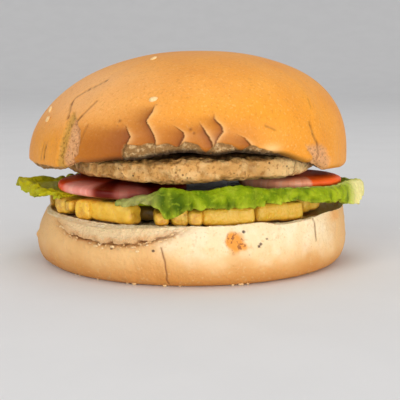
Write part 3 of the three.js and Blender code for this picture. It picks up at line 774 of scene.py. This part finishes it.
# Chips: (azimuth of the middle, distance of the middle, turn from pointing outwards, length, size, rise).
FRONT_CHIPS = [
    (-72, 41.6, 20, 20, 0.9, 0.2), (-62, 42.4, 8, 20, 0.94, 0.3), (-53, 42, -4, 20, 0.62, 0.6),
    (-45, 42.4, 4, 20, 1.05, 0.5), (-31, 47.4, 84, 19, 1.05, 0.2), (-12, 43.2, 18, 20, 0.72, -0.3),
    (-4, 43.3, 12, 20, 0.86, -0.1), (3, 43.8, 3, 20, 0.76, 0), (16, 49.2, 84, 18, 0.92, 0),
    (39.5, 48.4, 82, 20, 0.96, 0), (59, 45, 66, 18, 0.86, 0.3),
]
BACK_CHIP_COUNT, BACK_CHIPS_FROM, BACK_CHIPS_TO, BACK_CHIPS_LYING = 16, 70, 277, 0.38


def back_chips():
    chips = []
    for k in range(BACK_CHIP_COUNT):
        azimuth = lerp(BACK_CHIPS_FROM, BACK_CHIPS_TO, k / (BACK_CHIP_COUNT - 1))
        lying = draw(k + 5) > 1 - BACK_CHIPS_LYING
        distance = 46.6 if lying else 41.2 + 1.2 * draw(k + 60)
        turn = 80 + 14 * draw(k + 40) if lying else -22 + 44 * draw(k + 80)
        length = 22 if lying else 20
        chips.append((azimuth, distance, turn, length, 0.86 + 0.12 * draw(k + 20), 0.15 * draw(k)))
    return chips


def chip_shape(number, place):
    azimuth, distance, turn, length, size, rise = place
    around = np.arange(44)[None, :] / 44 * 2 * np.pi
    along = joined_rows((-1, -0.84, 7), (-0.84, 0.84, 36), (0.84, 1, 7))
    cap = np.linspace(0, 1, 6)[:-1, None]
    share = np.concatenate([cap, 1 + 0 * along, cap[::-1]])
    along = np.concatenate([-1 + 0 * cap, along, 1 + 0 * cap])
    half = CHIP_SIDE * size / 2
    square = (np.abs(np.cos(around)) ** 4 + np.abs(np.sin(around)) ** 4) ** -0.25
    ends = 1 - 0.1 * along ** 4 - 0.22 * np.clip((np.abs(along) - 0.86) / 0.14, 0, 1) ** 2.5
    out = half * square * ends * share
    y = length / 2 * along + 0 * around
    local = np.stack([-out * np.sin(around), y, out * np.cos(around)], axis=-1)
    shifted = local + 37.0 * number
    push = 0.42 * noise(shifted, 5, 31) + 0.22 * noise(shifted, 1.8, 32) - 0.1
    local = local + grid_normals(local) * push[..., None]
    points = moved(local, azimuth + turn, polar(azimuth, distance, CHIP_LEVEL + rise))
    masks = {
        "edge": np.abs(np.sin(2 * around)) ** 6 * share,
        "end": ramp(np.abs(along), 0.88, 1),
        "tone": draw(number + 200),
        # Low: painted shade on the underside of each chip.
        "low": ramp(-np.cos(around), 0.3, 0.9),
    }
    return round_shape(points, masks)


def chip_core_shape():
    azimuth = np.arange(96)[None, :] / 96 * 360
    part = np.linspace(0, 1, 25)[:, None]
    radius = CHIP_CORE_RADIUS * squared(np.sin(np.pi * part), 0.3) + 0 * azimuth
    radius[[0, -1]] = 0
    z = CHIP_LEVEL - 0.3 + CHIP_CORE_HALF * squared(np.cos(np.pi * part), 0.5)
    points = polar(azimuth, radius, z)
    # The core is painted dark all over, as shade deep inside the heap of chips.
    return round_shape(points, {"edge": 0.0, "end": 0.0, "tone": 0.5, "low": 0.0, "painted_core_shade": 1.0})


def chip_material():
    paint = Paint("fried_potato", "f0c03a", 0.4, soft=0.12)
    paint.layer("e0a82c", "tone", 0.55)
    paint.layer("f0cc5c", paint.grain(3.2, 0.45, 0.65), 0.5)
    paint.layer("cc8a22", paint.grain(4, 0.42, 0.6), 0.5, "edge")
    paint.layer("c6801e", paint.grain(2.2, 0.48, 0.62), 0.5, "end")
    # Painted shade on the chips' undersides.
    paint.layer("d08c24", "low", 0.4)
    paint.layer("a9641a", paint.dots(4.5, 0.14), 0.4)
    # Painted shade over the hidden core.
    paint.layer("2c1806", "painted_core_shade", 0.85)
    paint.relief(paint.grain(0.9, 0.3, 0.7), 0.1)
    paint.relief(paint.grain(2.6, 0.3, 0.7), 0.15)
    return paint.done()


# Lettuce: thin leaves that come out over the chips, fold up and over and hang down in ruffles.
FRONT_LEAF = {
    "from": -23, "to": 142, "columns": 640, "seed": 0, "tip": 84,
    "inner": [(-23, 50), (-12, 44), (6, 26), (142, 26)],
    "edge": [(-23, 57.6), (40, 57.8), (61, 62), (84, 66.2), (112, 54), (142, 51)],
    "crest": [
        (-23, 28.9), (-13, 30.8), (-7, 33.2), (5, 32.2), (18, 33.6), (30, 32.0),
        (45, 31.4), (60, 30.8), (72, 31.4), (92, 29.2), (142, 28.2),
    ],
    "hem": [
        (-23, 27.7), (-11, 27.8), (-6, 23.6), (1, 26.2), (12, 26.9), (22, 26.1), (28, 27.8),
        (40, 27.2), (57, 25.2), (74, 22.2), (88, 25.2), (110, 26.2), (142, 26.8),
    ],
}
SIDE_LEAF = {
    "from": -168, "to": -54, "columns": 340, "seed": 50, "tip": -89,
    "inner": [(-168, 28), (-54, 28)],
    "edge": [(-168, 51), (-106, 53), (-89, 65.2), (-74, 59), (-54, 53)],
    "crest": [(-168, 28.0), (-106, 28.2), (-92, 29.4), (-80, 29.2), (-66, 28.2), (-54, 27.6)],
    "hem": [
        (-168, 26.8), (-108, 26.8), (-90, 28.2), (-82, 25.6), (-72, 25.6), (-62, 26.6), (-54, 26.6),
    ],
}


def spline(knots, part):
    """A smooth curve through knots stacked on the first axis, as part goes from 0 to 1."""
    last = len(knots) - 1
    position = part * last
    cell = np.minimum(position.astype(int), last - 1)
    t = (position - cell)[..., None]
    picks = [np.clip(cell + step, 0, last) for step in (-1, 0, 1, 2)]
    columns = np.arange(knots.shape[1])
    before, start, end, after = [knots[pick, columns] for pick in picks]
    enter, leave = (end - before) / 2, (after - start) / 2
    cubic = 2 * start - 2 * end + enter + leave
    square = -3 * start + 3 * end - 2 * enter - leave
    return ((cubic * t + square) * t + enter) * t + start


def leaf_section(leaf, azimuth, across):
    """Radius and height of the leaf's middle, from its inner to its outer edge."""
    lines = ("inner", "edge", "crest", "hem")
    inner, edge, crest, hem = (smooth_through(leaf[line], azimuth) for line in lines)
    bend = np.minimum(edge - LEAF_FLAP, LEAF_BEND_LIMIT)
    level = np.full(azimuth.shape, LEAF_LEVEL)
    radii = [inner, lerp(inner, bend, 0.7), bend, np.maximum(bend + 2.3, edge - 2.2), edge, edge + 0.2]
    heights = [level, level, level + 0.1, crest - LEAF_THICKNESS / 2, lerp(crest, hem, 0.38), hem]
    knots = np.stack([np.stack(radii), np.stack(heights)], axis=-1)
    section = spline(knots, np.broadcast_to(across, (len(across), azimuth.size)))
    return section[..., 0], section[..., 1]


def leaf_veins(azimuth, across, flat):
    """Ribs that run outwards, with finer ones branching from them."""
    wander = noise(flat, 7, 45)
    ribs = np.abs(np.sin(np.radians(azimuth * 9.0 + 60 * wander)))
    branches = np.abs(np.sin(np.radians(azimuth * 42 + 260 * across + 90 * wander)))
    return np.clip(np.exp(-ribs * 10) + 0.45 * np.exp(-branches * 5), 0, 1)


def leaf_shape(leaf):
    azimuth = np.linspace(leaf["from"], leaf["to"], leaf["columns"])
    across = joined_rows((0, 0.5, 14), (0.5, 1, 60))
    radius, z = leaf_section(leaf, azimuth, across)
    loose = ramp(across, 0.62, 1)
    turn = np.radians(azimuth)
    radius = radius + 0.5 * loose * np.sin(turn * 34 + 3 * across)
    z = z + 0.25 * loose * np.sin(turn * 21)
    flat = np.stack(np.broadcast_arrays(azimuth * 0.98, across * 22, leaf["seed"] + 0.0), axis=-1)
    veins = leaf_veins(azimuth, across, flat)
    frill = ramp(across, 0.8, 1)
    at_tip = bell(azimuth, leaf["tip"], 16, 4)
    folds = noise(flat * (1, 0.35, 1), 1.9, 47) * loose
    radius = radius + 0.45 * loose * noise(flat, 3.4, 41) + 0.8 * folds - 0.3 * loose * veins
    curl = (leaf["tip"] < 0) * ramp(across, 0.3, 0.5)
    z = z + curl * (0.5 * noise(flat, 2.2, 49) + 0.45 * np.sin(turn * 47 + 9 * across))
    radius = radius - 0.9 * loose * at_tip
    waves = np.sin(turn * 104 + 2.4 * noise(flat, 6, 42))
    radius = radius + (0.6 * frill * waves + 0.2 * loose) * (1 - at_tip)
    z = z + 0.5 * frill * noise(flat, 1.7, 43) * (1 - 0.6 * at_tip)
    z = z + 0.45 * loose * (1 - frill) * noise(flat, 4.4, 44)
    z = z + 0.3 * ramp(across, 0.5, 0.6) * noise(flat, 1.3, 48)
    points = polar(azimuth[None, :], radius, z)
    tip = bell(azimuth, leaf["tip"] - 7, 8, 4) * ramp(across, 0.6, 0.7)
    rib = bell(azimuth, -17, 7, 4) * ramp(across + 0.03 * noise(flat, 2, 46), 0.5, 0.6)
    masks = {
        "vein": veins,
        # Painted shade in the hollows of the folds and a painted highlight on their ridges.
        "fold_shade": np.clip(-1.4 * folds, 0, 1),
        "fold_highlight": np.clip(1.4 * folds, 0, 1),
        "hem": ramp(across, 0.9, 1),
        "crest": hump(across, 0.62, 0.05) * ramp(azimuth, 22, 40),
        "rib": rib,
        "pale": tip * (leaf["tip"] > 0),
        # Darker at the front of the leaf under the patty, as painted shade.
        "dark_and_shade": bell(azimuth, -5, 6, 4) * ramp(across, 0.6, 0.8) * (1 - ramp(across, 0.92, 1)),
        # Painted light on the right of the front leaf.
        "painted_light": ramp(azimuth, 15, 55) * ramp(across, 0.6, 0.9),
        "olive": float(leaf["tip"] < 0),
    }
    return sheet_shape(points, LEAF_THICKNESS * 0.85, masks)


def leaf_material():
    paint = Paint("lettuce", "84980c", 0.5, specular=0.06, soft=0.06, soft_depth=2)
    paint.layer("557204", paint.grain(5, 0.42, 0.62), 0.75)
    # Painted light on the right of the front leaf.
    paint.layer("a8b81c", "painted_light", 0.5)
    # Painted shade at the front of the leaf under the patty.
    paint.layer("3c5606", "dark_and_shade", 0.9)
    paint.layer("d0bc18", "olive", 0.7)
    # Painted shade in fold hollows, then a painted highlight on fold ridges.
    paint.layer("2c4806", "fold_shade", 0.9)
    paint.layer("b4c02c", "fold_highlight", 0.5)
    paint.layer("b8c040", "vein", 0.28)
    paint.layer("b8c038", "hem", 0.35)
    paint.layer("d0d878", "crest", 0.55)
    paint.layer("a09a60", "rib", 0.8)
    paint.layer("f8eaa4", "pale", 0.85)
    paint.layer("b0c02c", paint.grain(1.4, 0.55, 0.7), 0.35)
    paint.relief(paint.grain(1.8, 0.3, 0.7), 0.3)
    paint.relief("vein", 0.12)
    return paint.done()


# Tomato: thick slices in one layer, each with one side cut flatter than the rest. Pale flesh and dark
# red, the dark red mostly painted shade, show at the azimuths about the slice's middle where their
# (azimuth, share) pairs are high. Ripe is how orange the red is and how much lighter the flesh is
# painted, partly as painted light. The powers square off the section's wall and its faces.
TOMATO_WALL_POWER, TOMATO_FACE_POWER = 0.34, 0.68
TOMATO_LEFT = {
    "x": -23, "y": -23.4, "radius": 22.8, "cut": -34, "depth": 1.2, "rise": -0.35, "tilt": (-0.02, 0.04),
    "flesh": [
        (-66, 0), (-56, 1), (-27, 1), (-21, 0.1), (-7, 0.1), (0, 0.7), (22, 0.7), (34, 0.1), (179, 0.2),
    ],
    "dark_and_shade": [(-32, 0), (-18, 1), (-8, 1), (4, 0.55), (20, 0.6), (34, 1), (90, 1), (120, 0)], "ripe_and_lit": 0.0,
}
TOMATO_RIGHT = {
    "x": 37.4, "y": -13.8, "radius": 18.6, "cut": 14, "depth": 1.4, "rise": 0.25, "tilt": (0.012, 0),
    "flesh": [(-100, 0.2), (-70, 1), (21, 1), (23, 0), (179, 0)],
    "dark_and_shade": [(-180, 0), (180, 0)], "ripe_and_lit": 1.0,
}
TOMATO_BACK = {
    "x": 5, "y": 16.4, "radius": 22.4, "cut": 180, "depth": 1.5, "rise": 0.1, "tilt": (0, 0),
    "flesh": [(-179, 1), (-150, 0), (150, 0), (179, 1)],
    "dark_and_shade": [(-100, 0), (-80, 0.9), (80, 0.9), (100, 0)], "ripe_and_lit": 0.0,
}


def tomato_shape(tomato):
    azimuth = np.arange(TOMATO_COLUMNS)[None, :] * 360 / TOMATO_COLUMNS
    turn = turned(azimuth)
    part = joined_rows((0, 0.3, 14), (0.3, 0.7, 40), (0.7, 1, 14))
    outward = squared(np.sin(np.pi * part), TOMATO_WALL_POWER)
    outward[[0, -1]] = 0
    cut = tomato["depth"] * bell(azimuth, tomato["cut"], 34, 4)
    radius = tomato["radius"] - cut + 0.35 * np.cos(np.radians(5 * azimuth))
    points = polar(azimuth, radius * outward, 0.0)
    half = TOMATO_THICKNESS / 2
    uneven = 0.94 - 0.04 * np.cos(np.radians(3 * azimuth)) * outward
    tilt_x, tilt_y = tomato["tilt"]
    points[..., 2] = tilt_x * points[..., 0] + tilt_y * points[..., 1]
    points[..., 2] += TOMATO_BOTTOM + half + tomato["rise"]
    points[..., 2] += half * uneven * squared(np.cos(np.pi * part), TOMATO_FACE_POWER)
    side = ramp(outward, 0.75, 0.98)
    points += grid_normals(points) * (0.12 * noise(points, 2.4, 51) * side - 0.03)[..., None]
    flesh = smooth_through(tomato["flesh"], turn + 0.8 * noise(points, 1.5, 53))
    streak_places = np.broadcast_arrays(azimuth * 0.5, 0.6 * np.cos(np.pi * part), 0)
    streaks = noise(np.stack(streak_places, axis=-1), 1.3, 52)
    points[..., 0] += tomato["x"]
    points[..., 1] += tomato["y"]
    masks = {
        "flesh": flesh * ramp(outward, 0.5, 0.7),
        "streak": np.clip(streaks * 0.5 + 0.5, 0, 1) * side,
        # Rim: the middle of the slice's flat faces, painted a darker red as shade.
        "rim": 1 - ramp(outward, 0.6, 0.85),
        "dark_and_shade": smooth_through(tomato["dark_and_shade"], turn),
        # Ripe: a more orange red, and a lighter flesh that is partly painted light.
        "ripe_and_lit": tomato["ripe_and_lit"],
    }
    return round_shape(points, masks)


def tomato_material():
    paint = Paint("tomato", "e8541c", 0.35, specular=0.18, soft=0.12)
    paint.layer("d03c10", paint.grain(7, 0.4, 0.65), 0.5)
    # Ripe: more orange red, then lighter flesh that is partly painted light.
    paint.layer("ff6a20", "ripe_and_lit", 0.8)
    paint.layer("e8988a", "flesh", 0.92)
    paint.layer("ffb088", "ripe_and_lit", 0.9, "flesh")
    paint.layer("f4c0a8", paint.spread(paint.mask("streak"), 0.55, 0.9), 0.35, "flesh")
    paint.layer("d06a54", paint.spread(paint.mask("streak"), 0.4, 0.1), 0.3, "flesh")
    # Painted shade on the flat faces.
    paint.layer("a02c14", "rim", 0.6)
    # Dark red: partly the skin's own red, mostly painted shade under the patty.
    paint.layer("560802", "dark_and_shade", 0.97)
    paint.relief(paint.grain(1.0, 0.3, 0.7), 0.05)
    paint.relief("streak", 0.06)
    return paint.done()


# Patty: grilled minced chicken, lumpy, with a crevice near its squarer right-hand end.
PATTY_CORNER_AZIMUTH, PATTY_CORNER_WIDTH, PATTY_CORNER_PROUD = 50, 18, 3
SAG_X, SAG_Y, SAG_WIDTH, SAG_DEPTH, SAG_DROP = -14, -51, 18, 8, 2.2
PATTY_CREVICE = [(48, 42.5), (49, 39), (47.5, 35)]
PATTY_WALL_POWER, PATTY_FACE_POWER = 0.24, 0.42


def patty_radius(azimuth):
    towards_front = 4 * np.cos(np.radians(azimuth)) + 1.4 * bell(azimuth, 0, 30)
    corner = PATTY_CORNER_PROUD * bell(azimuth, PATTY_CORNER_AZIMUTH, PATTY_CORNER_WIDTH)
    lumps = 0.6 * np.cos(np.radians(9 * azimuth)) + 0.4 * np.cos(np.radians(17 * azimuth) + 1)
    return PATTY_RADIUS + towards_front + corner + lumps


def patty_shape():
    azimuth = azimuths(PATTY_COLUMNS)
    part = joined_rows((0, 0.2, 14), (0.2, 0.8, 90), (0.8, 1, 14))
    outward = squared(np.sin(np.pi * part), PATTY_WALL_POWER)
    outward[[0, -1]] = 0
    points = polar(azimuth, patty_radius(azimuth) * outward, 0.0)
    x, y = points[..., 0], points[..., 1]
    side = squared(np.cos(np.pi * part), PATTY_FACE_POWER)
    sag = SAG_DROP * hump(x, SAG_X, SAG_WIDTH) * hump(y, SAG_Y, SAG_DEPTH)
    sunk = np.where(side < 0, sag, PATTY_FALL * ramp(-x, 0, PATTY_FALL_SPAN))
    lumps = 0.22 * np.cos(x / 4.1) * np.cos(y / 3.7 + 0.6)
    points[..., 2] = PATTY_LEVEL + PATTY_THICKNESS / 2 * side + (lumps - sunk) * np.abs(side)
    rim = ramp(outward, 0.6, 0.95)
    crevice = line_closeness(turned(azimuth), points[..., 2], PATTY_RADIUS, PATTY_CREVICE, 0.6)
    ridges = 1 - np.abs(noise(points, 3.2, 62))
    push = 0.55 * noise(points, 5.5, 61) + 0.6 * (ridges - 0.7) + 0.3 * noise(points, 1.2, 63) - 0.25
    points += grid_normals(points) * (push * (0.25 + 0.75 * rim) - 0.9 * crevice * rim)[..., None]
    masks = {
        "crevice": crevice * rim,
        "seared": ramp(side, 0.5, 0.98),
        "under": ramp(-side, 0.4, 0.95),
        "shadow": ramp(side, 0.78, 0.92),
        # Below: painted shade on the patty's underside.
        "below": ramp(-side, 0.82, 0.95),
        "pit": np.clip(0.7 - ridges, 0, 1) * 2,
        # Painted light on the patty's right-hand end.
        "painted_light": bell(azimuth, 52, 16, 4),
    }
    return round_shape(points, masks)


def patty_material():
    paint = Paint("grilled_chicken", "dca660", 0.55, specular=0.2, soft=0.08)
    paint.layer("f2ca8c", paint.grain(3.6, 0.45, 0.65), 0.6)
    paint.layer("bd8640", paint.grain(2.2, 0.5, 0.66, shift=0.2), 0.65)
    paint.layer("96622a", paint.grain(4, 0.45, 0.62, shift=0.4), 0.7, "seared")
    paint.layer("c08c50", "under", 0.4)
    paint.layer("94622c", "pit", 0.45)
    # Painted light on the patty's right-hand end.
    paint.layer("ffd898", "painted_light", 0.85)
    paint.layer("6a4018", "crevice", 0.7)
    paint.layer("9c6426", paint.grain(1.3, 0.55, 0.66, shift=0.6), 0.6)
    # Painted shade on the patty's underside.
    paint.layer("30180a", "below", 0.85)
    paint.layer("5c3812", paint.dots(2.0, 0.24), 0.75)
    paint.layer("20120a", paint.dots(4.0, 0.12, 0.7), 0.9)
    paint.layer("2a1608", "shadow", 0.85)
    paint.relief(paint.grain(0.8, 0.3, 0.7), 0.16)
    paint.relief(paint.grain(2.2, 0.3, 0.7), 0.25)
    return paint.done()


# Floor, lights and camera. Lights and camera are placed in metres.
FLOOR_RADIUS, FLOOR_CURVE = 1600, 1200
WARM, SOFT_WARM = (1.0, 0.97, 0.93), (1.0, 0.98, 0.96)
# Name, place, size, power and colour of each light.
LIGHTS = [
    ("key", (-0.65, -1.0, 0.5), 0.6, 4.8, WARM),
    ("fill", (0.5, -1.3, 0.08), 0.3, 9.0, WARM),
    ("side", (1.1, -0.7, 0.06), 0.25, 4.5, WARM),
    ("top", (0.1, 0.1, 1.3), 0.8, 3.2, SOFT_WARM),
]
LIGHTS_AIM = (0, 0, 0.035)
SKY_STRENGTH = 0.56
CAMERA_PLACE, CAMERA_DOWN, CAMERA_LENS, CAMERA_SENSOR = (0.0046, -0.361, 0.0742), 8.375, 85.59, 36


def floor_material():
    paint = Paint("pale_floor", "e6e6e7", 0.85)
    paint.layer("e2e2e3", paint.grain(40), 0.5)
    paint.relief(paint.grain(30), 0.01)
    return paint.done()


def add_floor():
    """A pale floor that curves up all round, far enough away on every side."""
    around = np.arange(96)[None, :] / 96 * 360
    curve = np.radians(np.linspace(0, 90, 20))[1:, None]
    flat = np.linspace(0, FLOOR_RADIUS, 6)[:, None]
    radius = np.concatenate([flat, FLOOR_RADIUS + FLOOR_CURVE * np.sin(curve)])
    z = np.concatenate([0 * flat, FLOOR_CURVE * (1 - np.cos(curve))])
    points = polar(around, radius, z)
    rows, columns = points.shape[:2]
    ids = np.arange(rows * columns).reshape(rows, columns)
    right = np.roll(ids, -1, axis=1)
    faces = np.stack([ids[:-1], right[:-1], right[1:], ids[1:]], axis=-1).reshape(-1, 4)
    new_object("floor", points.reshape(-1, 3), faces.tolist(), floor_material())


def add_lights():
    for name, place, size, power, warmth in LIGHTS:
        data = bpy.data.lights.new(name, "AREA")
        data.size = size
        data.energy = power
        data.color = warmth
        light = bpy.data.objects.new(name, data)
        light.location = place
        aim = Vector(LIGHTS_AIM) - Vector(place)
        light.rotation_mode = "QUATERNION"
        light.rotation_quaternion = aim.to_track_quat("-Z", "Y")
        bpy.context.scene.collection.objects.link(light)


def add_world():
    world = bpy.data.worlds.new("studio")
    world.use_nodes = True
    background = world.node_tree.nodes["Background"]
    background.inputs["Color"].default_value = (1.0, 1.0, 1.0, 1)
    background.inputs["Strength"].default_value = SKY_STRENGTH
    bpy.context.scene.world = world


def add_camera():
    data = bpy.data.cameras.new("camera")
    data.sensor_width = CAMERA_SENSOR
    data.lens = CAMERA_LENS
    camera = bpy.data.objects.new("camera", data)
    camera.location = CAMERA_PLACE
    camera.rotation_euler = (np.radians(90 - CAMERA_DOWN), 0, 0)
    bpy.context.scene.collection.objects.link(camera)
    bpy.context.scene.camera = camera


def build_burger():
    make_piece("crown", crown_shape(), "bun_top", crown_material())
    seeds = combined([seed_shape(*place) for place in SEED_PLACES])
    make_piece("seeds", seeds, "bun_top", seed_material())
    make_piece("heel", heel_shape(), "bun_bottom", heel_material())
    crumbs = combined([crumb_shape(k, *crumb) for k, crumb in enumerate(all_crumbs())])
    make_piece("crumbs", crumbs, "bun_bottom", crumb_material())
    fried = chip_material()
    chips = combined([chip_shape(k, place) for k, place in enumerate(FRONT_CHIPS + back_chips())])
    make_piece("fries", chips, "chips", fried)
    make_piece("fries_core", chip_core_shape(), "chips", fried)
    green = leaf_material()
    make_piece("leaf_front", leaf_shape(FRONT_LEAF), "lettuce_front", green)
    make_piece("leaf_side", leaf_shape(SIDE_LEAF), "lettuce_side", green)
    red = tomato_material()
    make_piece("slice_left", tomato_shape(TOMATO_LEFT), "tomato_left", red)
    make_piece("slice_right", tomato_shape(TOMATO_RIGHT), "tomato_right", red)
    make_piece("slice_back", tomato_shape(TOMATO_BACK), "tomato_back", red)
    make_piece("chicken", patty_shape(), "patty", patty_material())


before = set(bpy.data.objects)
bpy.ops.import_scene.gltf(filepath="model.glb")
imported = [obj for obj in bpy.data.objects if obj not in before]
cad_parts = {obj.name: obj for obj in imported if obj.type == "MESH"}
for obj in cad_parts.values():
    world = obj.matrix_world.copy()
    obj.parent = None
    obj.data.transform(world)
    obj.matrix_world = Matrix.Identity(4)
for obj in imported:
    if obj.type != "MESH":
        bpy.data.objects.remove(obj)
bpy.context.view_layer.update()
build_burger()
add_floor()
add_world()
add_lights()
add_camera()
bpy.context.scene.view_settings.view_transform = "Standard"
